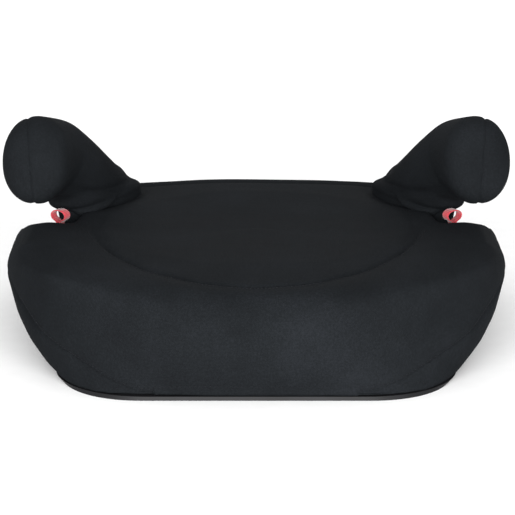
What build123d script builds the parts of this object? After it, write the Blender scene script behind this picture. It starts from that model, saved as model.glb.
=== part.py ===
"""Backless child booster seat: a moulded shell on a base pan, padded armrest horns, a sewn cover and red belt loops.

Millimetres. +Z is up, the child faces -Y and +X is towards the child's left. The origin is on the floor, under the
middle of the seat.
"""

import math
import os

from build123d import *

# Driving dimensions of the seat body; OUTLINES below gives the rest
CREST_Z = 97.5  # crest of the side wings
CREST_Y = 6.0  # where the wings start to fall to the rear
BELT_IN = 157.0  # inner wall of the lap-belt paths

# Layers, from the outside in
COVER = 5.0  # knit fabric laminated on soft wadding
SLEEVE = 3.0  # the same on the armrests, pulled tight
ARM_PAD = 6.0  # foam round the armrest cores
PAD = 13.0  # loose foam under the sitting panel
ROLL_PAD = 8.0  # loose foam over the front edge
WALL = 3.0  # moulded walls
GAP = 0.2  # between an armrest and the hole it stands in
PAN = 3.0  # base pan plate
LIP_TOP = 12.0  # rim of the base pan, inside the shell
HEM_TOP, HEM_STEP = 9.0, 4.0  # step round the foot of the shell, for the hem
HEM_GAP = 0.3
RIB = 2.4
RIBS_X = (0, 60)
RIBS_Y = (-84, 24)

# Belt loops, one beside each armrest
TAPE = 1.2
TAPE_WIDTH = 8.4
EYE = 5.2  # inner radius of the loop
RISE = 18.4  # from the anchor bar to the middle of the loop
BAR_RADIUS, BAR_LENGTH = 2.0, 18.4
FIT = 0.05  # running clearance on the bar
LOOP_AT = (170.0, 38.0, 75.6)
LOOP_YAW = 30.0
SLOT_LONG, SLOT_WIDE = 10.4, 10.6
EAR = 4.0

# Fasteners: pan-head screws
SCREW_R, HEAD_R, HEAD_H = 2.0, 4.0, 1.4
BOSS_R = 5.5
BASE_SCREWS = ((62, -154), (130, -92), (135, 48), (72, 154))
BASE_SCREW_LENGTH = 18.0
SOCKET_FLOOR = 66.0  # where the armrest cores stand in the shell
ARM_SCREWS = ((152.5, 89), (140, 112), (127.5, 135))
ARM_SCREW_LENGTH = 14.0

# Seams
CREST_SEAM = ((0, -157), (45, -149), (88, -115), (118, -72), (132, -38), (142, 4), (152, 24))
CENTRE_SEAM = CREST_SEAM + ((145, 48), (120, 84), (112, 172))
SIDE_SEAM = ((-196, -9), (-184, 1), (-178, 9), (-170, 22), (-152, 38), (-128, 53), (-105, 65), (-50, 74), (20, 79),
             (60, 62), (110, 46), (150, 36), (150, -20), (-196, -20))
PAD_EDGE = ((0, -152), (43, -144), (84, -111), (113, -69), (127, -36), (133, 8), (128, 42), (104, 74), (90, 120),
            (90, 166))
ROLL_EDGE = ((0, -156), (46, -148), (88, -115), (118, -72), (128, -60), (230, -60), (230, -240), (0, -240))

REAR_SEAM = ((0, 172), (112, 172), (150, 118), (240, 118), (240, 240), (0, 240))
ARM_SEAM_X = 195.0

SIDES = (("left", 1), ("right", -1))

# Plan outlines of the body: height, half width, reach to the front and to the rear, front and rear corner radius
OUTLINES = (
    (0, 157, 193, 189, 66, 66), (8, 173, 190.5, 190, 92, 84), (22, 189.5, 192.5, 192, 124, 98),
    (40, 200, 195, 194, 139, 108), (63.5, 212.5, 191, 195, 172, 116), (77, 210, 185, 195, 160, 112),
    (88, 201, 175, 194, 126, 106), (95, 191, 166, 192, 118, 100), (97.5, 182, 160, 190, 112, 96),
    (106, 182, 160, 190, 112, 96),
)
# Side views, from front to rear: the tops of the wings, the sitting surface and the lap-belt path
WING_LINE = ((-210, 56), (-196, 69), (-186, 78.5), (-173, 84.5), (-150, 88.5), (-110, 93.5), (-60, 97), (0, 97.5),
             (60, 97.5), (120, 94), (210, 91))
SEAT_LINE = ((-230, 70), (-176, 84), (-150, 86.5), (-100, 86), (0, 84), (60, 85), (100, 87.5), (150, 90.5), (210, 92.5))
BELT_LINE = ((CREST_Y, CREST_Z), (22, 91.5), (36, 86.1), (210, 37.4))
DISH = ((0, -157), (45, -149), (88, -115), (118, -72), (132, -38), (141, 4), (141, 60), (126, 110), (112, 230))
DISH_LEVELS = ((64, 0.72), (84, 1.0), (108, 1.3))


def body(inset, drop=None, bottom=0.0, top=150.0):
    """The seat body as one solid, inset from the outer skin, between two heights. drop lowers the deck instead."""
    drop = inset if drop is None else drop
    with BuildPart() as dish:
        for z, spread in DISH_LEVELS:
            with BuildSketch(Plane.XY.offset(z - drop)):
                with BuildLine():
                    half = [(x * spread + (inset if x else 0), 20 + (y - 20) * spread) for x, y in DISH]
                    Polyline(*half, *[(-x, y) for x, y in reversed(half) if x], close=True)
                make_face()
        loft(ruled=True)
        add(above(SEAT_LINE, drop, -260, 260), mode=Mode.INTERSECT)
    with BuildPart() as solid:
        for z, width, front, rear, front_corner, rear_corner in OUTLINES:
            with BuildSketch(Plane.XY.offset(z)) as outline:
                with Locations((0, (rear - front) / 2)):
                    Rectangle(2 * (width - inset), front + rear - 2 * inset)
                corners = outline.vertices().sort_by(Axis.Y)
                fillet(corners[:2], front_corner - inset)
                fillet(corners[2:], rear_corner - inset)
        loft(ruled=True)
        add(above(WING_LINE, drop, -260, 260), mode=Mode.SUBTRACT)
        add(dish.part, mode=Mode.SUBTRACT)
        add(above(BELT_LINE, drop, BELT_IN - inset, 260), mode=Mode.SUBTRACT)
        add(above(BELT_LINE, drop, -260, inset - BELT_IN), mode=Mode.SUBTRACT)
        if bottom > 0:
            add(slab(-1, bottom), mode=Mode.SUBTRACT)
        if top < 110:
            add(slab(top, 200), mode=Mode.SUBTRACT)
    return solid.part


def above(line, drop, x_low, x_high):
    """Everything above a side view line, lowered by drop, between two values of X."""
    with BuildPart() as solid:
        with BuildSketch(Plane.YZ.offset(x_low)):
            with BuildLine():
                Polyline(*[(y, z - drop) for y, z in line], (line[-1][0], 200), (line[0][0], 200), close=True)
            make_face()
        extrude(amount=x_high - x_low)
    return solid.part


# Armrest of the child's left side: rear upper edge, front lower edge and half thickness, from the root to the tip
HORN = (
    ((111, 166, 60), (166, 64, 60), 19),
    ((110, 163, 94), (170, 61, 92), 19),
    ((115, 137, 110), (177, 58, 99), 21),
    ((127, 110, 129), (182, 52, 105), 24),
    ((162, 60, 168), (188, 30, 111), 30),
    ((187, 12, 178.5), (190, 5, 113), 31),
    ((189.5, -4, 172.5), (190.5, -6, 118.5), 26),
    ((190, -12, 162), (191, -13, 129), 15),
)
NECK = 3  # station where the arm turns forward


def horn(inset, low=0.0):
    """Armrest of the child's left side as one solid above a height, inset from its sleeve's outer face."""
    rear = [Vector(*station[0]) for station in HORN]
    front = [Vector(*station[1]) for station in HORN]
    middle = [(a + b) * 0.5 for a, b in zip(rear, front)]
    last = len(HORN) - 1
    halves = []
    for first, final in ((0, NECK), (NECK, last)):
        with BuildPart() as half:
            for i in range(first, final + 1):
                travel = middle[min(i + 1, last)] - middle[max(i - 1, 0)]
                along = (rear[i] - front[i]).normalized()
                facing = Vector(0, 0, 1) if i == 0 else (travel - along * travel.dot(along)).normalized()
                centre = middle[i] - facing * inset * 0.3 * (i / last) ** 3
                with BuildSketch(Plane(origin=centre, x_dir=along.cross(facing), z_dir=facing)):
                    Ellipse(HORN[i][2] - inset, (rear[i] - front[i]).length / 2 - inset)
            loft()
        halves.append(half.part)
    with BuildPart() as solid:
        add(halves[0])
        add(halves[1])
        if low:
            add(slab(0, low), mode=Mode.SUBTRACT)
    return solid.part


def slab(low, high):
    """Everything between two heights."""
    with BuildPart() as solid:
        with Locations((0, 0, low)):
            Box(700, 700, high - low, align=(Align.CENTER, Align.CENTER, Align.MIN))
    return solid.part


def prism(half_outline, low=0.0, high=150.0):
    """Upright prism, mirror symmetric, from the right-hand half of its plan outline."""
    with BuildPart() as solid:
        with BuildSketch(Plane.XY.offset(low)):
            with BuildLine():
                Polyline(*half_outline, *[(-x, y) for x, y in reversed(half_outline) if x], close=True)
            make_face()
        extrude(amount=high - low)
    return solid.part


def posts(points, radius, low, high):
    """Upright cylinders between two heights."""
    with BuildPart() as solid:
        with Locations(*[(x, y, low) for x, y in points]):
            Cylinder(radius, high - low, align=(Align.CENTER, Align.CENTER, Align.MIN))
    return solid.part


def screws(points, seat, length):
    """Pan-head screws driven upwards, with the heads' upper faces at a height."""
    with BuildPart() as group:
        with Locations(*[(x, y, seat) for x, y in points]):
            Cylinder(SCREW_R, length, align=(Align.CENTER, Align.CENTER, Align.MIN))
            Cylinder(HEAD_R, HEAD_H, align=(Align.CENTER, Align.CENTER, Align.MAX))
    return group.part


def both(points):
    """Points of the child's left side and their mirror images."""
    return [(sign * x, y) for x, y in points for sign in (1, -1)]


def other_side(part, sign):
    """A piece of the child's left side, or its mirror image."""
    return part if sign > 0 else mirror(part, about=Plane.YZ)


def finish(part, name):
    """Labels a piece and writes it to its own file."""
    part.label = name
    export_step(part, f"parts/{name}.step")


os.makedirs("parts", exist_ok=True)

# Nested forms that the pieces are cut from
skin = body(0, bottom=PAN + HEM_GAP)
lining = body(COVER)
arm_skin = horn(0)
arm_lining = horn(SLEEVE)
arm_hole = horn(SLEEVE - GAP)
arm_block = horn(SLEEVE + ARM_PAD)

# Frame of a belt loop: its own X runs along the anchor bar, outwards and forwards
loop_axis = Plane(origin=LOOP_AT, x_dir=(math.sin(math.radians(LOOP_YAW)), -math.cos(math.radians(LOOP_YAW)), 0),
                  z_dir=(0, 0, 1))

with BuildPart() as belt_loop:
    across = Plane(origin=loop_axis.origin, x_dir=loop_axis.y_dir, z_dir=loop_axis.x_dir)
    with BuildSketch(across):
        Circle(BAR_RADIUS + FIT + TAPE)
        Rectangle(2 * TAPE, RISE, align=(Align.CENTER, Align.MIN))
        with Locations((0, RISE)):
            Circle(EYE + TAPE)
            Circle(EYE, mode=Mode.SUBTRACT)
        Circle(BAR_RADIUS + FIT, mode=Mode.SUBTRACT)
    extrude(amount=TAPE_WIDTH / 2, both=True)

with BuildPart() as anchor_bar:
    with BuildSketch(Plane(origin=loop_axis.origin, x_dir=loop_axis.y_dir, z_dir=loop_axis.x_dir)):
        Circle(BAR_RADIUS)
    extrude(amount=BAR_LENGTH / 2, both=True)

with BuildPart() as bar_bore:
    with BuildSketch(Plane(origin=loop_axis.origin, x_dir=loop_axis.y_dir, z_dir=loop_axis.x_dir)):
        Circle(BAR_RADIUS + 0.01)
    extrude(amount=BAR_LENGTH / 2 + 0.2, both=True)

with BuildPart() as loop_slot:
    with Locations(loop_axis.location):
        Box(SLOT_LONG, SLOT_WIDE, 60, align=(Align.CENTER, Align.CENTER, Align.CENTER))

with BuildPart() as bar_ears:
    with Locations(loop_axis.location):
        with Locations((SLOT_LONG / 2 + EAR / 2, 0, -4), (-SLOT_LONG / 2 - EAR / 2, 0, -4)):
            Box(EAR, 9, 30, align=(Align.CENTER, Align.CENTER, Align.MIN))

# Foam under the sitting panel and over the front edge
pad_prism = prism(PAD_EDGE)
with BuildPart() as seat_foam:
    add(lining)
    add(pad_prism, mode=Mode.INTERSECT)
    add(body(COVER, drop=COVER + PAD), mode=Mode.SUBTRACT)
finish(seat_foam.part, "seat_foam")

with BuildPart() as front_foam:
    add(lining)
    add(prism(ROLL_EDGE, low=30), mode=Mode.INTERSECT)
    add(pad_prism, mode=Mode.SUBTRACT)
    add(body(COVER + ROLL_PAD), mode=Mode.SUBTRACT)
finish(front_foam.part, "front_roll_foam")

# Moulded shell: hollow, ribbed, with bosses, armrest sockets and ears for the anchor bars
with BuildPart() as block:
    add(body(COVER, bottom=PAN))
    add(seat_foam.part, mode=Mode.SUBTRACT)
    add(front_foam.part, mode=Mode.SUBTRACT)
    add(slab(0, HEM_TOP), mode=Mode.SUBTRACT)
    add(body(COVER + HEM_STEP, bottom=PAN, top=HEM_TOP))

wing_keep = prism(((0, -230), (230, -230), (230, -58), (131, -58), (135, -36), (137, 10), (131, 46), (107, 77),
                   (94, 122), (94, 170), (0, 170)))
with BuildPart() as hollow:
    add(body(COVER + HEM_STEP + WALL, drop=COVER + PAD + WALL))
with BuildPart() as wing_hollow:
    add(body(COVER + HEM_STEP + WALL, drop=COVER + WALL))
    add(wing_keep, mode=Mode.SUBTRACT)

with BuildPart() as inner_form:
    with Locations(*[(sign * x, 0, 0) for x in RIBS_X for sign in ((1, -1) if x else (1,))]):
        Box(RIB, 420, 120, align=(Align.CENTER, Align.CENTER, Align.MIN))
    with Locations(*[(0, y, 0) for y in RIBS_Y]):
        Box(440, RIB, 120, align=(Align.CENTER, Align.CENTER, Align.MIN))
    add(posts(both(BASE_SCREWS), BOSS_R, 0, 120))
    add(slab(0, LIP_TOP + 2), mode=Mode.SUBTRACT)
    add(posts(both(BASE_SCREWS), BOSS_R, PAN, 40))
socket = horn(SLEEVE + ARM_PAD - GAP - WALL, low=SOCKET_FLOOR - WALL)
socket_clear = horn(SLEEVE + ARM_PAD - GAP, low=SOCKET_FLOOR)

with BuildPart() as seat_shell:
    add(block.part)
    add(hollow.part, mode=Mode.SUBTRACT)
    add(wing_hollow.part, mode=Mode.SUBTRACT)
    with BuildPart(mode=Mode.PRIVATE) as inside:
        add(inner_form.part)
        for _, sign in SIDES:
            add(other_side(socket, sign))
            add(other_side(bar_ears.part, sign))
        add(block.part, mode=Mode.INTERSECT)
    add(inside.part)
    for _, sign in SIDES:
        add(other_side(socket_clear, sign), mode=Mode.SUBTRACT)
        add(other_side(loop_slot.part, sign), mode=Mode.SUBTRACT)
        add(other_side(bar_bore.part, sign), mode=Mode.SUBTRACT)
    add(posts(both(BASE_SCREWS), SCREW_R + 0.01, 0, PAN + BASE_SCREW_LENGTH), mode=Mode.SUBTRACT)
    add(posts(both(ARM_SCREWS), SCREW_R + 0.3, 50, 80), mode=Mode.SUBTRACT)
    add(posts(both(ARM_SCREWS), HEAD_R + 1, 50, SOCKET_FLOOR - WALL), mode=Mode.SUBTRACT)
finish(seat_shell.part, "seat_shell")

# Base pan with a locating rim, and its screws
with BuildPart() as base_pan:
    add(body(0.6, top=PAN))
    add(body(COVER + HEM_STEP + WALL + HEM_GAP, top=LIP_TOP))
    add(body(COVER + HEM_STEP + 2 * WALL + HEM_GAP, bottom=PAN, top=LIP_TOP + 1), mode=Mode.SUBTRACT)
    add(posts(both(BASE_SCREWS), BOSS_R + 0.5, PAN, LIP_TOP + 1), mode=Mode.SUBTRACT)
    add(posts(both(BASE_SCREWS), SCREW_R + 0.3, 0, PAN + 1), mode=Mode.SUBTRACT)
    add(posts(both(BASE_SCREWS), HEAD_R + 0.4, -1, HEAD_H + 0.2), mode=Mode.SUBTRACT)
finish(base_pan.part, "base_pan")
finish(screws(both(BASE_SCREWS), HEAD_H + 0.2, BASE_SCREW_LENGTH), "base_screws")

with BuildPart() as hem_elastic:
    add(body(COVER + HEM_GAP, bottom=PAN + 1.2, top=HEM_TOP - 0.8))
    add(body(COVER + HEM_STEP - HEM_GAP, bottom=0, top=HEM_TOP), mode=Mode.SUBTRACT)
finish(hem_elastic.part, "hem_elastic")

# Armrests: a hollow core, a foam wrap, a sleeve and the sleeve's outer side panel
with BuildPart() as arm_core:
    add(arm_block)
    add(slab(0, SOCKET_FLOOR), mode=Mode.SUBTRACT)
    with BuildPart(mode=Mode.SUBTRACT):
        add(horn(SLEEVE + ARM_PAD + 2.4, low=SOCKET_FLOOR + 4))
        add(posts(ARM_SCREWS, 5, SOCKET_FLOOR + 1, SOCKET_FLOOR + 15), mode=Mode.SUBTRACT)
    add(posts(ARM_SCREWS, SCREW_R + 0.01, 60, SOCKET_FLOOR + 13), mode=Mode.SUBTRACT)

with BuildPart() as arm_foam:
    add(arm_lining)
    add(arm_block, mode=Mode.SUBTRACT)
    add(lining, mode=Mode.SUBTRACT)

with BuildPart() as arm_cover:
    add(arm_skin)
    add(arm_lining, mode=Mode.SUBTRACT)
    add(skin, mode=Mode.SUBTRACT)

with BuildPart() as outer_side:
    with Locations((ARM_SEAM_X + 50, 40, 140)):
        Box(100, 200, 120)

with BuildPart() as arm_sleeve:
    add(arm_cover.part)
    add(outer_side.part, mode=Mode.SUBTRACT)

with BuildPart() as arm_side:
    add(arm_cover.part)
    add(outer_side.part, mode=Mode.INTERSECT)

for side, sign in SIDES:
    finish(other_side(arm_core.part, sign), f"{side}_armrest_core")
    finish(other_side(arm_foam.part, sign), f"{side}_armrest_foam")
    finish(other_side(arm_sleeve.part, sign), f"{side}_armrest_sleeve")
    finish(other_side(arm_side.part, sign), f"{side}_armrest_side_panel")
    finish(other_side(screws(ARM_SCREWS, SOCKET_FLOOR - WALL, ARM_SCREW_LENGTH), sign), f"{side}_armrest_screws")
    finish(other_side(belt_loop.part, sign), f"{side}_belt_loop")
    finish(other_side(anchor_bar.part, sign), f"{side}_anchor_bar")

# Sewn cover, cut into its panels along the seams
with BuildPart() as cover:
    add(skin)
    add(lining, mode=Mode.SUBTRACT)
    for _, sign in SIDES:
        add(other_side(arm_hole, sign), mode=Mode.SUBTRACT)
        add(other_side(loop_slot.part, sign), mode=Mode.SUBTRACT)

centre_form = prism(CENTRE_SEAM)
with BuildPart() as side_form:
    with BuildSketch(Plane.YZ):
        with BuildLine():
            Polyline(*SIDE_SEAM, close=True)
        make_face()
    extrude(amount=240)
rear_form = prism(REAR_SEAM)

with BuildPart() as centre_panel:
    add(cover.part)
    add(centre_form, mode=Mode.INTERSECT)
finish(centre_panel.part, "centre_panel")

with BuildPart() as surround:
    add(cover.part)
    add(centre_form, mode=Mode.SUBTRACT)

with BuildPart() as side_panel:
    add(surround.part)
    add(side_form.part, mode=Mode.INTERSECT)
for side, sign in SIDES:
    finish(other_side(side_panel.part, sign), f"{side}_side_panel")

with BuildPart() as front_and_rear:
    add(surround.part)
    for _, sign in SIDES:
        add(other_side(side_form.part, sign), mode=Mode.SUBTRACT)

with BuildPart() as front_panel:
    add(front_and_rear.part)
    add(rear_form, mode=Mode.SUBTRACT)
finish(front_panel.part, "front_panel")

with BuildPart() as rear_panel:
    add(front_and_rear.part)
    add(rear_form, mode=Mode.INTERSECT)
finish(rear_panel.part, "rear_panel")
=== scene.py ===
import bpy
import bmesh
import math
import numpy as np
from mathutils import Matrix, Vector
from mathutils.bvhtree import BVHTree


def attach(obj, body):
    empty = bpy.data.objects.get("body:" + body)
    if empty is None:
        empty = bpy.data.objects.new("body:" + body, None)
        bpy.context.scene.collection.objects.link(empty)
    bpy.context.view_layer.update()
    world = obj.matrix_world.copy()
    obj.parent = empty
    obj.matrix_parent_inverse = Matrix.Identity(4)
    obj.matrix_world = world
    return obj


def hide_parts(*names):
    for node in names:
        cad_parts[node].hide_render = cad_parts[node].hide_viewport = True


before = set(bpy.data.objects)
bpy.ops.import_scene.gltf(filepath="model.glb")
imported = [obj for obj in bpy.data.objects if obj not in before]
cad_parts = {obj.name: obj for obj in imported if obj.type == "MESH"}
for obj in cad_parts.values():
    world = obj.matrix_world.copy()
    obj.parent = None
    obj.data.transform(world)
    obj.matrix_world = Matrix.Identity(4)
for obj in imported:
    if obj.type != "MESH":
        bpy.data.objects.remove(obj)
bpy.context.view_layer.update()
MM = 0.001

# ---------------------------------------------------------------- shape tables, in millimetres
# Plan outlines of the body: height, half width, reach forward and back, front and rear corner radius
OUTLINES = np.array([
    (0, 157, 193, 189, 66, 66), (8, 173, 190.5, 190, 92, 84), (22, 189.5, 192.5, 192, 124, 98),
    (40, 200, 195, 194, 139, 108), (63.5, 212.5, 191, 195, 172, 116), (77, 210, 185, 195, 160, 112),
    (88, 201, 175, 194, 126, 106), (95, 191, 166, 192, 118, 100), (97.5, 182, 160, 190, 112, 96),
    (106, 178, 156, 187, 110, 94)], float)
# Heights along the seat, of the wings, the sitting panel and the belt paths: distance back, height
WING_LINE = np.array([
    (-210, 56), (-196, 69), (-186, 78.5), (-173, 84.5), (-150, 88.5), (-110, 93.5), (-60, 97),
    (0, 98), (60, 98.5), (120, 99), (210, 100)], float)
SEAT_LINE = np.array([
    (-230, 70), (-176, 84), (-150, 86.5), (-100, 86), (0, 84), (60, 85), (100, 88), (150, 93.5),
    (210, 99)], float)
BELT_LINE = np.array([(-10, 98), (6, 97.5), (22, 91.5), (36, 86.1), (210, 37.4)], float)
# Plan of the sitting panel's seam, left half: distance across, distance back
PANEL_SEAM = np.array([
    (0, -157), (45, -149), (88, -115), (118, -72), (132, -38), (141, 4), (141, 60), (126, 110),
    (112, 230)], float)
SEAM_MIDDLE = 20  # distance back of the point that the sitting panel's seam runs round
# Side seam, seen from the side: distance back, height
SIDE_SEAM = np.array([
    (-196, -2), (-191.5, 3), (-184, 10.4), (-173, 19), (-160, 27.3), (-140, 36.3), (-112, 48.2),
    (-80, 58), (-50, 65), (20, 71), (60, 60), (110, 46), (150, 36)], float)
# Plan of the rear seam, left half: distance across, distance back
REAR_SEAM = np.array([(0, 172), (112, 172), (150, 118), (240, 118)], float)
# Left armrest from its root to its nose: a point on its rear edge, one on its front edge, half thickness
HORN = np.array([
    (111, 166, 60, 166, 64, 60, 19), (110, 163, 94, 170, 61, 92, 19), (118, 137, 108, 178.5, 58, 98, 21),
    (126.5, 110.5, 123.5, 181.5, 52, 105, 24.5), (165, 60, 173, 189, 30, 111, 28.5),
    (186, 16, 185.5, 187, 4.5, 113, 30)], float)
HORN_NOSE = np.array((190.0, -16.5, 147.0))  # foremost point of the armrest
# Armrest's root in plan, an ellipse: middle, cosine and sine of its turn, half length and half width
ROOT_X, ROOT_Y, ROOT_COS, ROOT_SIN, ROOT_LONG, ROOT_WIDE = 140, 112, 0.862, 0.507, 59, 20
BELT_PATH_AT, BELT_PATH_EDGE = 149, 15  # where a belt path starts across the seat, and its rounded edge's width
STITCH_GAP = 4.0  # from a seam to the row of stitches beside it
HEM_HALF_WIDTH, HEM_REACH, HEM_ROUNDNESS, HEM_STITCH_HEIGHT = 171, 190, 0.6, 11.0


def soften(values, passes):
    """Rounds a run of values by averaging each with its neighbours; the ends stay."""
    for _ in range(passes):
        values[1:-1] = (values[:-2] + 2 * values[1:-1] + values[2:]) / 4
    return values


def smooth_table(table, samples, passes):
    """A table made into a dense, gently rounded one."""
    x = np.linspace(table[0, 0], table[-1, 0], samples)
    columns = [soften(np.interp(x, table[:, 0], table[:, k]), passes) for k in range(1, table.shape[1])]
    return np.stack([x] + columns, 1)


def panel_seam_reach():
    """How far the sitting panel's seam is from its middle point, for angles from straight forward."""
    steps = np.linspace(0, len(PANEL_SEAM) - 1, 4000)
    numbers = np.arange(len(PANEL_SEAM))
    across, back = (np.interp(steps, numbers, PANEL_SEAM[:, k]) for k in (0, 1))
    angles = np.linspace(0, np.pi, 361)
    reach = np.interp(angles, np.arctan2(across, -(back - SEAM_MIDDLE)), np.hypot(across, back - SEAM_MIDDLE))
    return angles, soften(reach, 60)


outline = smooth_table(OUTLINES, 600, 120)
wing_line = smooth_table(WING_LINE, 600, 300)
seat_line = smooth_table(SEAT_LINE, 600, 300)
belt_line = smooth_table(BELT_LINE, 600, 60)
seam_angles, seam_reach = panel_seam_reach()


def smoothstep(t):
    """Eased step from 0 to 1."""
    t = np.clip(t, 0, 1)
    return t * t * (3 - 2 * t)


def smooth_max(a, b, k):
    """The larger of two values, rounded over a width k where they meet."""
    h = np.clip(0.5 + 0.5 * (a - b) / k, 0, 1)
    return b + (a - b) * h + k * h * (1 - h)


def crest_distance(x, y):
    """Signed plan distance to the sitting panel's seam, negative on the panel, and the angle from forward."""
    angle = np.arctan2(np.abs(x), -(y - SEAM_MIDDLE))
    return np.hypot(x, y - SEAM_MIDDLE) - np.interp(angle, seam_angles, seam_reach), angle


def line_distance(px, py, line):
    """Plan distance to a polyline."""
    best = np.full(px.shape, 1e9)
    for (ax, ay), (bx, by) in zip(line[:-1], line[1:]):
        dx, dy = bx - ax, by - ay
        t = np.clip(((px - ax) * dx + (py - ay) * dy) / (dx * dx + dy * dy), 0, 1)
        best = np.minimum(best, np.hypot(px - ax - t * dx, py - ay - t * dy))
    return best


def deck(x, y):
    """Height of the top: the sitting panel, its raised edge, the wings and the belt paths."""
    d, angle = crest_distance(x, y)
    radius = np.interp(angle, seam_angles, seam_reach)
    seat = np.interp(y, seat_line[:, 0], seat_line[:, 1])
    wings = np.interp(y, wing_line[:, 0], wing_line[:, 1])
    rise = 84 + d / radius / 0.3 * 24
    k = 7 + 25 * smoothstep((angle - 0.55) / 0.7)
    top = -smooth_max(-smooth_max(seat, rise, k), -wings, 12)
    # the sitting panel's front edge is puffed and turns down into the seam
    front = 1 - smoothstep((angle - 0.75) / 0.7)
    top = top + front * (1.8 * smoothstep(-d / 6) - 1.0 * smoothstep((-d - 6) / 40))
    # the rear edge is highest in the middle
    top = top - 5.0 * smoothstep((y - 60) / 120) * np.clip(np.abs(x) / 120, 0, 1.2) ** 2
    belt = np.interp(y, belt_line[:, 0], belt_line[:, 1])
    outer = smoothstep((np.abs(x) - BELT_PATH_AT) / BELT_PATH_EDGE)
    return (1 - outer) * top + outer * -smooth_max(-top, -belt, 5)


def hem_wave(x, y):
    """Height of the hem above the pan: nearly straight, with slight pulls."""
    s = np.arctan2(y, x)
    ripple = 1.5 + 0.25 * np.sin(9 * s + 1.3) + 0.2 * np.sin(23 * s)
    return ripple + 1.3 * np.exp(-(((x + 78) / 34) ** 2)) * (y < -120)


def body_field(p):
    """Roughly the signed distance to the cover's outer face, in millimetres."""
    x, y, z = p[:, 0], p[:, 1], p[:, 2]
    w, front, rear, front_r, rear_r = (np.interp(z, outline[:, 0], outline[:, k]) for k in (1, 2, 3, 4, 5))
    # the front corners' radius turns into the rear ones' over the middle of the seat
    blend = smoothstep((y + 30) / 60)
    r = front_r * (1 - blend) + rear_r * blend
    qx = np.abs(x) - (w - r)
    qy = np.abs(y - (rear - front) / 2) - ((front + rear) / 2 - r)
    side = np.hypot(np.maximum(qx, 0), np.maximum(qy, 0)) + np.minimum(np.maximum(qx, qy), 0) - r
    # the walls run into the top over a soft edge, and into the hem over a tight one
    f = smooth_max(side * 0.9, (z - deck(x, y)) * 0.95, 13)
    return smooth_max(f, hem_wave(x, y) - z, 2.2)


def gradient(field, p, h=0.25):
    """Slope of a field at each point, by central differences."""
    g = np.zeros_like(p)
    for k in range(3):
        step = np.zeros(3)
        step[k] = h
        g[:, k] = (field(p + step) - field(p - step)) / (2 * h)
    return g


def settle(field, p, rounds=4):
    """Moves points onto the field's zero surface."""
    for _ in range(rounds):
        g = gradient(field, p)
        n2 = np.maximum((g * g).sum(1), 0.05)
        p = p - g * np.clip(field(p) / n2, -4, 4)[:, None]
    return p


def new_object(name, verts_mm, faces):
    """A smooth-shaded mesh object from points in millimetres."""
    mesh = bpy.data.meshes.new(name)
    verts = [tuple(v) for v in np.asarray(verts_mm) * MM]
    mesh.from_pydata(verts, [], [tuple(int(i) for i in f) for f in faces])
    mesh.update()
    mesh.polygons.foreach_set("use_smooth", [True] * len(mesh.polygons))
    obj = bpy.data.objects.new(name, mesh)
    bpy.context.scene.collection.objects.link(obj)
    return obj


def with_modifiers(obj):
    """Replaces an object's mesh by its evaluated one and drops its modifiers."""
    deps = bpy.context.evaluated_depsgraph_get()
    mesh = bpy.data.meshes.new_from_object(obj.evaluated_get(deps))
    obj.modifiers.clear()
    obj.data = mesh


def points(obj):
    """A mesh's points in millimetres."""
    co = np.empty(len(obj.data.vertices) * 3)
    obj.data.vertices.foreach_get("co", co)
    return co.reshape(-1, 3) / MM


def set_points(obj, p):
    """Moves a mesh's points to new places in millimetres."""
    obj.data.vertices.foreach_set("co", (np.asarray(p) * MM).ravel())
    obj.data.update()


def normals_of(obj):
    """A mesh's point normals."""
    n = np.empty(len(obj.data.vertices) * 3)
    obj.data.vertices.foreach_get("normal", n)
    return n.reshape(-1, 3)


def face_outwards(obj):
    """Turns every face of a closed mesh outwards."""
    bm = bmesh.new()
    bm.from_mesh(obj.data)
    bmesh.ops.recalc_face_normals(bm, faces=bm.faces)
    bm.to_mesh(obj.data)
    bm.free()


def keep_outside(obj, node, normals, gap=1.4, reach=16.0, passes=14):
    """How far each point of a cloth form must move out, in mm, to clear a moulded part by a gap."""
    hard = bpy.data.objects[node].data
    tree = BVHTree.FromPolygons([v.co for v in hard.vertices], [tuple(f.vertices) for f in hard.polygons])
    p = points(obj)
    push = np.zeros(len(p))
    for i, (point, normal) in enumerate(zip(p, normals)):
        start = Vector((point + normal * reach) * MM)
        hit, _, _, distance = tree.ray_cast(start, Vector(-normal), (reach + gap) * MM)
        if hit is not None:
            push[i] = max(0.0, reach + gap - distance / MM)
    # the points round a pushed one follow it, so that the cloth spans the place smoothly
    edges = np.empty(len(obj.data.edges) * 2, int)
    obj.data.edges.foreach_get("vertices", edges)
    a, b = edges.reshape(-1, 2).T
    for _ in range(passes):
        total, number = np.zeros(len(p)), np.zeros(len(p))
        for one, two in ((a, b), (b, a)):
            np.add.at(total, one, push[two])
            np.add.at(number, one, 1)
        push = np.maximum(push, total / np.maximum(number, 1) * 0.98)
    return push


# ---------------------------------------------------------------- materials
def linear(code):
    """sRGB hex to linear RGBA."""
    channels = [int(code[i:i + 2], 16) / 255 for i in (1, 3, 5)]
    return tuple(c / 12.92 if c <= 0.04045 else ((c + 0.055) / 1.055) ** 2.4 for c in channels) + (1.0,)


def add_node(tree, kind, inputs=None, **settings):
    """Adds a node with its settings; inputs maps a socket's name or index to a value or to (node, output)."""
    node = tree.nodes.new(kind)
    for key, value in settings.items():
        setattr(node, key, value)
    for key, value in (inputs or {}).items():
        if isinstance(value, tuple) and len(value) == 2 and hasattr(value[0], "outputs"):
            tree.links.new(value[0].outputs[value[1]], node.inputs[key])
        else:
            node.inputs[key].default_value = value
    return node


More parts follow.
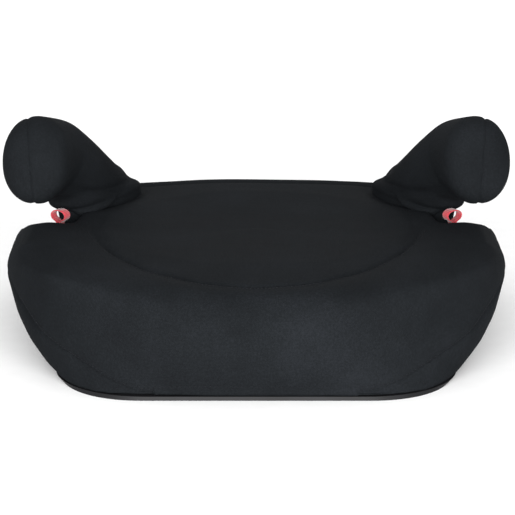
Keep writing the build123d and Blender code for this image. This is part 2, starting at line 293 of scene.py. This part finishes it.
def ramp(tree, fac, stops):
    """A colour ramp from (position, sRGB hex) stops."""
    node = add_node(tree, "ShaderNodeValToRGB", {"Fac": fac})
    while len(node.color_ramp.elements) < len(stops):
        node.color_ramp.elements.new(0.5)
    for element, (position, colour) in zip(node.color_ramp.elements, stops):
        element.position, element.color = position, linear(colour)
    return node


def start_material(name):
    """A material with a shader and Object coordinates."""
    material = bpy.data.materials.new(name)
    material.use_nodes = True
    tree = material.node_tree
    tree.nodes.clear()
    out = add_node(tree, "ShaderNodeOutputMaterial")
    shader = add_node(tree, "ShaderNodeBsdfPrincipled")
    tree.links.new(shader.outputs[0], out.inputs[0])
    coords = add_node(tree, "ShaderNodeTexCoord")
    return material, tree, shader, (coords, "Object")


def knit_material():
    """Charcoal warp-knit polyester on thin foam: matt, finely celled, slightly heathered, hardly any sheen."""
    material, tree, shader, place = start_material("charcoal_knit_laminate")
    # knit cells of 1.3 mm, a little coarser than real ones, so that they show
    cells = add_node(tree, "ShaderNodeVectorMath", {0: place, 1: (2 * math.pi / 0.0013,) * 3},
                     operation="MULTIPLY")
    axes = add_node(tree, "ShaderNodeSeparateXYZ", {0: (cells, 0)})
    waves = []
    for a, b in (("X", "Y"), ("Y", "Z"), ("Z", "X")):
        s = add_node(tree, "ShaderNodeMath", {0: (axes, a)}, operation="SINE")
        c = add_node(tree, "ShaderNodeMath", {0: (axes, b)}, operation="COSINE")
        waves.append(add_node(tree, "ShaderNodeMath", {0: (s, 0), 1: (c, 0)}, operation="MULTIPLY"))
    pair = add_node(tree, "ShaderNodeMath", {0: (waves[0], 0), 1: (waves[1], 0)}, operation="ADD")
    knit = add_node(tree, "ShaderNodeMath", {0: (pair, 0), 1: (waves[2], 0)}, operation="ADD")
    # heathered yarn in flecks of about 1.6 mm, and handling marks about 70 mm across
    heather = add_node(tree, "ShaderNodeTexNoise",
                       {"Vector": place, "Scale": 620.0, "Detail": 3.0, "Roughness": 0.65})
    cloud = add_node(tree, "ShaderNodeTexNoise",
                     {"Vector": place, "Scale": 14.0, "Detail": 3.0, "Roughness": 0.55})
    mixed = add_node(tree, "ShaderNodeMath", {0: (heather, "Fac"), 1: (cloud, "Fac")}, operation="ADD")
    # the knit's hollows are also painted a shade darker: faint painted shade in the cells, matching the bump
    shifted = add_node(tree, "ShaderNodeMath", {0: (knit, 0), 1: 0.03, 2: (mixed, 0)}, operation="MULTIPLY_ADD")
    halved = add_node(tree, "ShaderNodeMath", {0: (shifted, 0), 1: 0.5}, operation="MULTIPLY")
    colour = ramp(tree, (halved, 0), ((0.30, "#111214"), (0.5, "#16181a"), (0.70, "#1d1f22")))
    tree.links.new(colour.outputs[0], shader.inputs["Base Color"])
    rough = add_node(tree, "ShaderNodeMapRange", {"Value": (cloud, "Fac"), "To Min": 0.78, "To Max": 0.95})
    tree.links.new(rough.outputs[0], shader.inputs["Roughness"])
    fine = add_node(tree, "ShaderNodeBump", {"Strength": 0.3, "Distance": 0.00015, "Height": (knit, 0)})
    # soft unevenness of the foam, about 26 mm across
    slack = add_node(tree, "ShaderNodeTexNoise",
                     {"Vector": place, "Scale": 38.0, "Detail": 2.0, "Roughness": 0.5})
    fibre = add_node(tree, "ShaderNodeBump", {"Strength": 0.3, "Distance": 0.0002, "Height": (heather, "Fac"),
                                              "Normal": (fine, 0)})
    soft = add_node(tree, "ShaderNodeBump", {"Strength": 0.25, "Distance": 0.003, "Height": (slack, "Fac"),
                                             "Normal": (fibre, 0)})
    tree.links.new(soft.outputs[0], shader.inputs["Normal"])
    shader.inputs["Sheen Weight"].default_value = 0.01
    shader.inputs["Sheen Roughness"].default_value = 0.45
    shader.inputs["Sheen Tint"].default_value = linear("#9aa2ad")
    shader.inputs["Specular IOR Level"].default_value = 0.015
    return material


def webbing_material():
    """Red polyester tape: ribs across the tape, with painted shade between the yarns."""
    material, tree, shader, place = start_material("red_polyester_webbing")
    wave = add_node(tree, "ShaderNodeTexWave",
                    {"Vector": place, "Scale": 330.0, "Distortion": 1.0, "Detail": 1.0},
                    wave_type="BANDS", bands_direction="Z")
    noise = add_node(tree, "ShaderNodeTexNoise", {"Vector": place, "Scale": 900.0, "Detail": 2.0})
    both = add_node(tree, "ShaderNodeMath", {0: (wave, "Fac"), 1: 0.5, 2: (noise, "Fac")},
                    operation="MULTIPLY_ADD")
    # the low places between the ribs take the dark red: painted shade in the grooves, matching the bump
    colour = ramp(tree, (both, 0), ((0.35, "#7a0d1c"), (0.7, "#ad1b2c"), (1.0, "#c5323f")))
    tree.links.new(colour.outputs[0], shader.inputs["Base Color"])
    bump = add_node(tree, "ShaderNodeBump", {"Strength": 0.6, "Distance": 0.0003, "Height": (both, 0)})
    tree.links.new(bump.outputs[0], shader.inputs["Normal"])
    shader.inputs["Roughness"].default_value = 0.7
    shader.inputs["Sheen Weight"].default_value = 0.4
    return material


def thread_material():
    """Bonded polyester sewing thread, near black, with a twist whose grooves carry painted shade."""
    material, tree, shader, place = start_material("black_polyester_thread")
    ply = add_node(tree, "ShaderNodeTexWave", {"Vector": place, "Scale": 900.0, "Distortion": 0.6},
                   wave_type="BANDS", bands_direction="DIAGONAL")
    # the twist's grooves are painted darker and its crowns lighter: painted shade and light, matching the bump
    colour = ramp(tree, (ply, "Fac"), ((0.2, "#0e0f11"), (0.8, "#1d1f23")))
    tree.links.new(colour.outputs[0], shader.inputs["Base Color"])
    bump = add_node(tree, "ShaderNodeBump", {"Strength": 0.4, "Distance": 0.0001, "Height": (ply, "Fac")})
    tree.links.new(bump.outputs[0], shader.inputs["Normal"])
    shader.inputs["Roughness"].default_value = 0.7
    shader.inputs["Specular IOR Level"].default_value = 0.1
    return material


def plastic_material(name, dark, light, rough):
    """Moulded polypropylene with a fine spark-eroded grain."""
    material, tree, shader, place = start_material(name)
    grain = add_node(tree, "ShaderNodeTexNoise", {"Vector": place, "Scale": 1400.0, "Detail": 2.0})
    cloud = add_node(tree, "ShaderNodeTexNoise", {"Vector": place, "Scale": 25.0, "Detail": 3.0})
    colour = ramp(tree, (cloud, "Fac"), ((0.35, dark), (0.7, light)))
    tree.links.new(colour.outputs[0], shader.inputs["Base Color"])
    bump = add_node(tree, "ShaderNodeBump", {"Strength": 0.3, "Distance": 0.0001, "Height": (grain, "Fac")})
    tree.links.new(bump.outputs[0], shader.inputs["Normal"])
    shader.inputs["Roughness"].default_value = rough
    shader.inputs["Specular IOR Level"].default_value = 0.2
    return material


def steel_material():
    """Zinc-plated steel, faintly yellowed, with a brushed micro-scratch."""
    material, tree, shader, place = start_material("zinc_plated_steel")
    cloud = add_node(tree, "ShaderNodeTexNoise", {"Vector": place, "Scale": 300.0, "Detail": 4.0})
    colour = ramp(tree, (cloud, "Fac"), ((0.3, "#8d8f90"), (0.7, "#b9bab6")))
    tree.links.new(colour.outputs[0], shader.inputs["Base Color"])
    bump = add_node(tree, "ShaderNodeBump", {"Strength": 0.2, "Distance": 0.00005, "Height": (cloud, "Fac")})
    tree.links.new(bump.outputs[0], shader.inputs["Normal"])
    shader.inputs["Metallic"].default_value = 1.0
    shader.inputs["Roughness"].default_value = 0.35
    return material


KNIT = knit_material()
RED = webbing_material()
THREAD = thread_material()
PAN = plastic_material("black_moulded_polypropylene", "#0d0d0f", "#17171a", 0.55)
SHELL = plastic_material("grey_moulded_polypropylene", "#1b1c1f", "#26272b", 0.6)
STEEL = steel_material()


def dress(obj, material):
    """Gives an object its one material."""
    obj.data.materials.clear()
    obj.data.materials.append(material)


def sewn_piece(name, verts, faces, nodes):
    """A panel of the cover, cut from a form's faces; it rides on the seat in place of its CAD nodes."""
    used = sorted({i for face in faces for i in face})
    lookup = {old: new for new, old in enumerate(used)}
    piece = new_object(name, verts[used], [[lookup[i] for i in face] for face in faces])
    dress(piece, KNIT)
    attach(piece, "seat")
    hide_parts(*nodes)


# ---------------------------------------------------------------- cover of the seat body
def star_mesh():
    """Dense closed mesh of the body, found by marching outwards from its middle."""
    rings, spokes = 150, 320
    polar = np.linspace(0, np.pi, rings + 1)[1:-1]
    turn = np.linspace(0, 2 * np.pi, spokes, endpoint=False)
    d = np.stack([np.outer(np.sin(polar), np.cos(turn)), np.outer(np.sin(polar), np.sin(turn)),
                  np.outer(np.cos(polar), np.ones(spokes))], -1).reshape(-1, 3)
    d = np.concatenate([d, [(0, 0, 1), (0, 0, -1)]])
    centre = np.array([0, 5, 42.0])
    low, high = np.zeros(len(d)), np.full(len(d), 330.0)
    for _ in range(26):
        mid = (low + high) / 2
        inside = body_field(centre + d * mid[:, None]) < 0
        low, high = np.where(inside, mid, low), np.where(inside, high, mid)
    verts = centre + d * low[:, None]
    faces = []
    count = rings - 1
    for i in range(count - 1):
        for j in range(spokes):
            k = (j + 1) % spokes
            faces.append((i * spokes + j, (i + 1) * spokes + j, (i + 1) * spokes + k, i * spokes + k))
    top, bottom = count * spokes, count * spokes + 1
    for j in range(spokes):
        k = (j + 1) % spokes
        faces.append((top, j, k))
        faces.append((bottom, (count - 1) * spokes + k, (count - 1) * spokes + j))
    return verts, faces


def inflate(obj, held, cap):
    """Blows a closed cloth form up a little, held where it is sewn; returns how far each point moved, in mm."""
    before = points(obj)
    group = obj.vertex_groups.new(name="sewn")
    for i, weight in enumerate(held):
        if weight > 0.02:
            group.add([i], float(weight), "REPLACE")
    cloth = obj.modifiers.new("cloth", "CLOTH")
    cloth.settings.quality = 4
    cloth.settings.mass = 0.3
    cloth.settings.tension_stiffness = cloth.settings.compression_stiffness = 12
    cloth.settings.shear_stiffness = 4
    cloth.settings.bending_stiffness = 0.6
    cloth.settings.use_pressure = True
    cloth.settings.uniform_pressure_force = 4
    cloth.settings.vertex_group_mass = "sewn"
    cloth.settings.effector_weights.gravity = 0
    cloth.collision_settings.use_collision = False
    for number in range(1, 17):
        bpy.context.scene.frame_set(number)
    deps = bpy.context.evaluated_depsgraph_get()
    after = np.empty(len(obj.data.vertices) * 3)
    obj.evaluated_get(deps).data.vertices.foreach_get("co", after)
    bpy.context.scene.frame_set(1)
    obj.modifiers.clear()
    obj.vertex_groups.clear()
    move = after.reshape(-1, 3) / MM - before
    length = np.linalg.norm(move, axis=1)
    return move * np.minimum(1, cap / np.maximum(length, 1e-6))[:, None]


def panel_of(p):
    """Which panel each point is in: 0 front, 1 centre, 2 left side, 3 right side, 4 rear."""
    x, y, z = p[:, 0], p[:, 1], p[:, 2]
    d, _ = crest_distance(x, y)
    panel = np.zeros(len(p), int)
    rear = y > np.interp(np.abs(x), REAR_SEAM[:, 0], REAR_SEAM[:, 1])
    side = (z < np.interp(y, SIDE_SEAM[:, 0], SIDE_SEAM[:, 1])) & (y < 150) & (np.abs(x) > 60)
    panel[rear] = 4
    panel[side & (x > 0)] = 2
    panel[side & (x < 0)] = 3
    panel[(d < 0) & (y < 172) & (z > 70)] = 1
    return panel


def armrest_root_distance(x, y):
    """Plan distance outside the armrest's root."""
    u = (np.abs(x) - ROOT_X) * -ROOT_SIN + (y - ROOT_Y) * ROOT_COS
    v = (np.abs(x) - ROOT_X) * ROOT_COS + (y - ROOT_Y) * ROOT_SIN
    return (np.sqrt((u / ROOT_LONG) ** 2 + (v / ROOT_WIDE) ** 2) - 1) * ROOT_WIDE


def seam_depth(p):
    """Grooves along the seams and the slight pull of the cloth beside them."""
    x, y, z = p[:, 0], p[:, 1], p[:, 2]
    d, angle = crest_distance(x, y)
    top = (z > 74) & (y < 150)
    strong = 1 - 0.93 * smoothstep((angle - 1.05) / 0.5)
    groove = np.where(top, strong * (1.7 * np.exp(-((d / 1.5) ** 2)) + 0.6 * np.exp(-(((d - 4) / 7) ** 2))), 0)
    ds = line_distance(y, z, SIDE_SEAM)
    side = (np.abs(x) > 80) & (y < 152)
    groove += np.where(side, 1.9 * np.exp(-((ds / 1.7) ** 2)) + 0.8 * np.exp(-((ds / 8) ** 2)), 0)
    dr = line_distance(np.abs(x), y, REAR_SEAM)
    rear = (y > 100) & (z > 20)
    groove += np.where(rear, 1.3 * np.exp(-((dr / 1.8) ** 2)) + 0.4 * np.exp(-((dr / 7) ** 2)), 0)
    # the cover is drawn down round the armrests' roots
    root = armrest_root_distance(x, y)
    groove += np.where(z > 60, 2.2 * np.exp(-((np.maximum(root, 0) / 4.5) ** 2)), 0)
    return groove


raw_verts, raw_faces = star_mesh()
cover = new_object("cover_form", raw_verts, raw_faces)
remesh = cover.modifiers.new("remesh", "REMESH")
remesh.mode, remesh.voxel_size = "VOXEL", 0.0045
with_modifiers(cover)
skin = settle(body_field, points(cover), 3)
set_points(cover, skin)
smooth = cover.modifiers.new("smooth", "SMOOTH")
smooth.iterations, smooth.factor = 3, 0.5
with_modifiers(cover)
skin = settle(body_field, points(cover), 2)
set_points(cover, skin)


def outward(field, p):
    """Unit normals of a field's surface."""
    n = gradient(field, p)
    return n / (np.linalg.norm(n, axis=1)[:, None] + 1e-9)


# the sewn lines and the hem hold while the padding swells between them; the mean swelling is taken off again
sewn = np.clip(seam_depth(skin) / 1.2, 0, 1)
sewn = np.maximum(sewn, np.clip((9 - skin[:, 2]) / 4, 0, 1))
swell = inflate(cover, sewn, 7)
loose = sewn < 0.3
normals = outward(body_field, skin)
along_normal = (swell * normals).sum(1)
across_normal = swell - along_normal[:, None] * normals
along_normal = np.clip(along_normal - along_normal[loose].mean(), -2.5, 2.5)
skin = skin + normals * along_normal[:, None] * 0.8 + np.clip(across_normal, -1, 1) * 0.5
set_points(cover, skin)
finer = cover.modifiers.new("finer", "SUBSURF")
finer.levels = finer.render_levels = 1
with_modifiers(cover)
skin = points(cover)
normals = outward(body_field, skin)
x, y, z = skin.T
slack = (0.30 * np.sin(x / 31 + 1.1 * np.sin(y / 43)) * np.sin(z / 17 + x / 90)
         + 0.22 * np.sin((x + 0.6 * y) / 19 + 2 * np.sin(z / 22)))
walls = np.abs(normals[:, 2]) < 0.75
gather = 0.35 * np.sin(x / 3.1 + 2 * np.sin(x / 17)) * np.exp(-((z - 5) / 5) ** 2) * walls
skin = skin + normals * (slack + gather - seam_depth(skin))[:, None]
set_points(cover, skin)
push = keep_outside(cover, "seat_shell", normals)
skin = skin + normals * push[:, None]
skin[:, 2] = np.maximum(skin[:, 2], 0.5)
set_points(cover, skin)

quads = [tuple(f.vertices) for f in cover.data.polygons]
centres = np.array([skin[list(q)].mean(0) for q in quads])
face_panel = panel_of(centres)
PANELS = ((1, "seat_centre_panel", ("centre_panel", "seat_foam"), 0.8),
          (0, "seat_front_panel", ("front_panel", "front_roll_foam"), 0.7),
          (2, "seat_left_side_panel", ("left_side_panel",), 0.7),
          (3, "seat_right_side_panel", ("right_side_panel",), 0.7),
          (4, "seat_rear_panel", ("rear_panel",), 0.7))
for index, name, nodes, fill in PANELS:
    chosen = [q for q, own in zip(quads, face_panel) if own == index]
    sewn_piece(name, skin, chosen, nodes)
sewn_skin = BVHTree.FromPolygons([Vector(v * MM) for v in skin], quads)
bpy.data.objects.remove(cover)


# ---------------------------------------------------------------- stitching
def stitch_tree(material):
    """Lays short thread stitches along a line: resample, turn with the line, realize."""
    tree = bpy.data.node_groups.new("row_of_stitches", "GeometryNodeTree")
    tree.interface.new_socket("Geometry", in_out="INPUT", socket_type="NodeSocketGeometry")
    pitch = tree.interface.new_socket("Stitch pitch", in_out="INPUT", socket_type="NodeSocketFloat")
    length = tree.interface.new_socket("Stitch length", in_out="INPUT", socket_type="NodeSocketFloat")
    thick = tree.interface.new_socket("Thread radius", in_out="INPUT", socket_type="NodeSocketFloat")
    tree.interface.new_socket("Geometry", in_out="OUTPUT", socket_type="NodeSocketGeometry")
    entry, leave = add_node(tree, "NodeGroupInput"), add_node(tree, "NodeGroupOutput")
    line = add_node(tree, "GeometryNodeMeshToCurve", {0: (entry, 0)})
    steps = add_node(tree, "GeometryNodeResampleCurve", {0: (line, 0), "Length": (entry, 1)}, mode="LENGTH")
    thread = add_node(tree, "GeometryNodeMeshUVSphere", {"Segments": 6, "Rings": 4, "Radius": 1.0})
    along = add_node(tree, "GeometryNodeInputTangent")
    turn = add_node(tree, "FunctionNodeAlignRotationToVector", {"Vector": (along, 0)}, axis="Z")
    size = add_node(tree, "ShaderNodeCombineXYZ", {0: (entry, 3), 1: (entry, 3), 2: (entry, 2)})
    laid = add_node(tree, "GeometryNodeInstanceOnPoints", {"Points": (steps, 0), "Instance": (thread, 0),
                                                           "Rotation": (turn, 0), "Scale": (size, 0)})
    real = add_node(tree, "GeometryNodeRealizeInstances", {0: (laid, 0)})
    done = add_node(tree, "GeometryNodeSetMaterial", {0: (real, 0), "Material": material})
    tree.links.new(done.outputs[0], leave.inputs[0])
    return tree, (pitch.identifier, length.identifier, thick.identifier)


STITCHES, STITCH_SOCKETS = stitch_tree(THREAD)


def stitch_row(name, lines, pitch=3.0, length=1.15, radius=0.32):
    """One piece of stitching along lines of points in millimetres."""
    verts, edges = [], []
    for line in lines:
        start = len(verts)
        verts += [tuple(v) for v in np.asarray(line) * MM]
        edges += [(start + i, start + i + 1) for i in range(len(line) - 1)]
    mesh = bpy.data.meshes.new(name)
    mesh.from_pydata(verts, edges, [])
    obj = bpy.data.objects.new(name, mesh)
    bpy.context.scene.collection.objects.link(obj)
    rows = obj.modifiers.new("stitches", "NODES")
    rows.node_group = STITCHES
    for socket, value in zip(STITCH_SOCKETS, (pitch, length, radius)):
        rows[socket] = value * MM
    with_modifiers(obj)
    obj.data.polygons.foreach_set("use_smooth", [True] * len(obj.data.polygons))
    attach(obj, "seat")


def on_body(line, lift):
    """Points of a line brought to the finished cover of the body and lifted off it."""
    laid = []
    for point in settle(body_field, np.asarray(line, float), 12):
        place, normal, _, _ = sewn_skin.find_nearest(Vector(point * MM))
        laid.append(np.array(place) / MM + np.array(normal) * lift)
    return np.array(laid)


def panel_seam_line(gap):
    """Line beside the sitting panel's front seam."""
    angles = np.linspace(-1.42, 1.42, 260)
    r = np.interp(np.abs(angles), seam_angles, seam_reach) + gap
    x, y = r * np.sin(angles), SEAM_MIDDLE - r * np.cos(angles)
    return np.stack([x, y, deck(x, y)], 1)


def side_seam_line(sign, gap):
    """Line beside a side seam, from the front hem to the rear."""
    keys = np.arange(len(SIDE_SEAM))
    fine = np.linspace(0.9, keys[-1], 420)
    y, z = (np.interp(fine, keys, SIDE_SEAM[:, k]) for k in (0, 1))
    z = z + gap
    w, front, rear, front_r, rear_r = (np.interp(z, outline[:, 0], outline[:, k]) for k in (1, 2, 3, 4, 5))
    r = np.where(y < 0, front_r, rear_r)
    edge = np.where(y < 0, front, rear) - r
    over = np.clip(np.abs(y) - edge, 0, r)
    return np.stack([sign * (w - r + np.sqrt(np.maximum(r * r - over * over, 0))), y, z], 1)


def hem_line():
    """Squared ring round the body, just above the hem."""
    turn = np.linspace(0, 2 * np.pi, 900)
    c, s = (np.sign(v) * np.abs(v) ** HEM_ROUNDNESS for v in (np.cos(turn), np.sin(turn)))
    return np.stack([HEM_HALF_WIDTH * c, HEM_REACH * s, np.full(len(turn), HEM_STITCH_HEIGHT)], 1)


stitch_row("sitting_panel_stitching", [on_body(panel_seam_line(STITCH_GAP), 0.1)])
stitch_row("side_seam_stitching", [on_body(side_seam_line(sign, STITCH_GAP), 0.1) for sign in (1, -1)])
stitch_row("hem_stitching", [on_body(hem_line(), 0.05)], pitch=4.0, length=1.5)


# ---------------------------------------------------------------- armrests
def horn_grid(lengthwise=100, nose=26, around=112):
    """The left armrest's sleeve as a grid of rings, from the root to the nose."""
    keys = np.linspace(0, 1, len(HORN))
    fine = np.linspace(0, 1, 800)
    dense = soften(np.stack([np.interp(fine, keys, HORN[:, k]) for k in range(7)], 1), 900)
    t = np.linspace(0, 1, lengthwise)
    table = np.stack([np.interp(t, fine, dense[:, k]) for k in range(7)], 1)
    rear, front, thick = table[:, :3], table[:, 3:6], table[:, 6]
    middle = (rear + front) / 2
    travel = np.gradient(middle, axis=0)
    along = rear - front
    half = np.linalg.norm(along, axis=1) / 2
    along /= 2 * half[:, None]
    facing = travel - along * (travel * along).sum(1)[:, None]
    facing /= np.linalg.norm(facing, axis=1)[:, None]
    across = np.cross(along, facing)
    phi = np.linspace(0, 2 * np.pi, around, endpoint=False)
    # slightly squared ellipses, like a sleeve over a moulded core
    c, sn = np.cos(phi), np.sin(phi)
    c, sn = np.sign(c) * np.abs(c) ** 0.94, np.sign(sn) * np.abs(sn) ** 0.94
    ring = (middle[:, None] + across[:, None] * (thick[:, None] * c)[..., None]
            + along[:, None] * (half[:, None] * sn)[..., None])
    # the front end is rounded like the heel of a loaf
    end = ring[-1] - middle[-1]
    domes = []
    for a in np.linspace(0, np.pi / 2, nose + 1)[1:-1]:
        u = math.sin(a)
        scale = (1 - u ** 2.3) ** (1 / 2.3)
        domes.append(middle[-1] + (HORN_NOSE - middle[-1]) * u + end * scale)
    return np.concatenate([ring, np.array(domes)])


def horn_mesh():
    """The left armrest's sleeve, closed at its nose and at its root."""
    ring = horn_grid()
    rows, around = ring.shape[:2]
    verts = np.concatenate([ring.reshape(-1, 3), [HORN_NOSE, ring[0].mean(0)]])
    faces = []
    for i in range(rows - 1):
        for j in range(around):
            k = (j + 1) % around
            faces.append((i * around + j, i * around + k, (i + 1) * around + k, (i + 1) * around + j))
    last = (rows - 1) * around
    for j in range(around):
        k = (j + 1) % around
        faces.append((last + j, last + k, rows * around))
        faces.append((k, j, rows * around + 1))
    return verts, faces


def outer_seam(p):
    """Signed distance to the seam of the armrest's outer panel."""
    return p[:, 0] - (194.5 - 0.08 * (186 - p[:, 2]))


# Wrinkles at the armrest's neck: middle (x, y, z), slope, width, length, depth
WRINKLES = ((140, 70, 106, 0.55, 3.4, 24, 1.5), (150, 60, 114, 0.8, 3.8, 22, 1.1),
            (128, 92, 108, 0.3, 3.2, 22, 1.2), (168, 56, 106, -0.2, 3.6, 16, 1.2),
            (120, 118, 106, 0.2, 3.2, 20, 0.8))


def horn_creases(p):
    """Depth of the outer panel's seam and of the wrinkles at the neck."""
    x, y, z = p.T
    seam = outer_seam(p)
    depth = 1.1 * np.exp(-((seam / 1.3) ** 2)) + 0.5 * np.exp(-((seam / 6) ** 2))
    for cx, cy, cz, slope, width, length, amount in WRINKLES:
        along = x - cx
        line = (z - cz) - slope * along * 0.6
        depth += amount * np.exp(-((line / width) ** 2)) * np.exp(-((along / length) ** 2)) * (y < cy + 45)
    # a rolled edge where the sleeve is sewn to the cover
    return depth - 1.2 * np.exp(-(((z - 97) / 4) ** 2))


horn_verts, horn_faces = horn_mesh()
horn_form = new_object("armrest_form", horn_verts, horn_faces)
face_outwards(horn_form)
n = normals_of(horn_form)
base = points(horn_form)
n[-1] = 0  # the root's middle stays where it is
lumps = 0.5 * np.sin(base[:, 0] / 14 + base[:, 2] / 23) * np.sin(base[:, 1] / 19)
base = base + n * (lumps - horn_creases(base))[:, None]
set_points(horn_form, base)
push = keep_outside(horn_form, "left_armrest_core", n)
base = base + n * push[:, None]
sleeve_faces = [tuple(f.vertices) for f in horn_form.data.polygons]
bpy.data.objects.remove(horn_form)

centres = np.array([base[list(f)].mean(0) for f in sleeve_faces])
outer = outer_seam(centres) > 0
for side, sign in (("left", 1), ("right", -1)):
    for is_outer, name, nodes in (
            (False, f"{side}_armrest_cover", (f"{side}_armrest_sleeve", f"{side}_armrest_foam")),
            (True, f"{side}_armrest_outer_cover", (f"{side}_armrest_side_panel",))):
        chosen = [f if sign > 0 else f[::-1] for f, o in zip(sleeve_faces, outer) if o == is_outer]
        sewn_piece(name, base * (sign, 1, 1), chosen, nodes)

# ---------------------------------------------------------------- red webbing loops
LOOP_AT = np.array((170.0, 38.0, 75.6))  # middle of the left anchor bar
LOOP_YAW = math.radians(30)
TAPE_HALF_WIDTH, TAPE_HALF_THICK = 4.2, 0.55
# Half of the tape's middle line, from the top of the eye down round the bar: across, height above the bar
LOOP_PATH = ((0, 22.9), (3.7, 22.3), (6.3, 20.5), (7.1, 18.2), (6.0, 15.6), (3.2, 13.7), (1.2, 11.6),
             (0.85, 7.5), (1.5, 3.9), (2.75, 1.1), (2.3, -1.7))


def webbing_loop(sign):
    """A tape folded into a soft eye, its two tails sewn together and passed round the anchor bar."""
    half = np.array(LOOP_PATH)
    ring = np.concatenate([half, [(0, -2.8)], half[:0:-1] * (-1, 1)])
    count = len(ring)
    path = []
    # a smooth curve through every point of the ring
    for i in range(count):
        p0, p1, p2, p3 = (ring[(i + k) % count] for k in (-1, 0, 1, 2))
        for t in np.linspace(0, 1, 6, endpoint=False):
            path.append(0.5 * (2 * p1 + (p2 - p0) * t + (2 * p0 - 5 * p1 + 4 * p2 - p3) * t * t
                               + (3 * p1 - 3 * p2 + p3 - p0) * t ** 3))
    path = np.array(path)
    step = np.roll(path, -1, 0) - np.roll(path, 1, 0)
    step /= np.linalg.norm(step, axis=1)[:, None]
    out = np.stack([-step[:, 1], step[:, 0]], 1)
    bar = np.array((sign * math.sin(LOOP_YAW), -math.cos(LOOP_YAW), 0))
    side = np.array((math.cos(LOOP_YAW), sign * math.sin(LOOP_YAW), 0))
    # section of the tape: flat faces and rounded selvedges
    flat = TAPE_HALF_WIDTH - TAPE_HALF_THICK
    section = [(flat + TAPE_HALF_THICK * math.cos(a), TAPE_HALF_THICK * math.sin(a))
               for a in np.linspace(-np.pi / 2, np.pi / 2, 7)]
    section += [(-x, -y) for x, y in section]
    verts, faces = [], []
    for p, o in zip(path, out):
        for x, y in section:
            q = p + o * y
            verts.append(LOOP_AT * (sign, 1, 1) + side * q[0] + np.array((0, 0, 1)) * q[1] + bar * x)
    around = len(section)
    for k in range(len(path)):
        m = (k + 1) % len(path)
        for j in range(around):
            i = (j + 1) % around
            faces.append((k * around + j, k * around + i, m * around + i, m * around + j))
    return verts, faces


for side, sign in (("left", 1), ("right", -1)):
    piece = new_object(f"{side}_webbing_loop", *webbing_loop(sign))
    face_outwards(piece)
    dress(piece, RED)
    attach(piece, f"{side}_loop")
    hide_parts(f"{side}_belt_loop")

# ---------------------------------------------------------------- carried-over CAD nodes
CAD_LOOKS = {"base_pan": PAN, "seat_shell": SHELL, "base_screws": STEEL, "hem_elastic": PAN}
for side in ("left", "right"):
    CAD_LOOKS[f"{side}_armrest_core"] = SHELL
    CAD_LOOKS[f"{side}_armrest_screws"] = CAD_LOOKS[f"{side}_anchor_bar"] = STEEL
for name, material in CAD_LOOKS.items():
    obj = bpy.data.objects[name]
    for slot in obj.material_slots:
        slot.material = material

# ---------------------------------------------------------------- stage, light and camera
FLOOR_HALF, FLOOR_FRONT, FLOOR_REAR = 3000, -3500, 2500
floor = new_object("floor", [(-FLOOR_HALF, FLOOR_FRONT, 0), (FLOOR_HALF, FLOOR_FRONT, 0),
                             (FLOOR_HALF, FLOOR_REAR, 0), (-FLOOR_HALF, FLOOR_REAR, 0)], [(0, 1, 2, 3)])
paper, tree, shader, place = start_material("white_paper_backdrop")
fibres = add_node(tree, "ShaderNodeTexNoise", {"Vector": place, "Scale": 60.0, "Detail": 4.0})
tone = ramp(tree, (fibres, "Fac"), ((0.3, "#fafafa"), (0.7, "#fdfdfd")))
tree.links.new(tone.outputs[0], shader.inputs["Base Color"])
shader.inputs["Roughness"].default_value = 0.9
dress(floor, paper)

world = bpy.data.worlds.new("studio")
bpy.context.scene.world = world
world.use_nodes = True
world.node_tree.nodes["Background"].inputs[0].default_value = (1, 1, 1, 1)
world.node_tree.nodes["Background"].inputs[1].default_value = 0.62


def softbox(name, place, target, size, watts):
    """A rectangular area light that faces its target."""
    light = bpy.data.lights.new(name, "AREA")
    light.shape, light.size, light.size_y, light.energy = "RECTANGLE", size[0], size[1], watts
    obj = bpy.data.objects.new(name, light)
    bpy.context.scene.collection.objects.link(obj)
    obj.location = place
    obj.rotation_euler = (Vector(target) - Vector(place)).to_track_quat("-Z", "Y").to_euler()


softbox("front_softbox", (0.0, -2.1, 0.55), (0, 0, 0.08), (3.0, 1.1), 120)
softbox("rear_softbox", (0.0, 2.2, 1.2), (0, 1.6, 0.0), (2.4, 0.8), 26)

CAMERA_AT, CAMERA_AIM = (0.001, -1.9406, 0.5738), (0.001, 0, 0.0656)
camera_data = bpy.data.cameras.new("camera")
camera_data.sensor_width, camera_data.lens = 36.0, 164.0
camera = bpy.data.objects.new("camera", camera_data)
bpy.context.scene.collection.objects.link(camera)
camera.location = CAMERA_AT
camera.rotation_euler = (Vector(CAMERA_AIM) - camera.location).to_track_quat("-Z", "Y").to_euler()
bpy.context.scene.camera = camera
bpy.context.scene.view_settings.view_transform = "Standard"
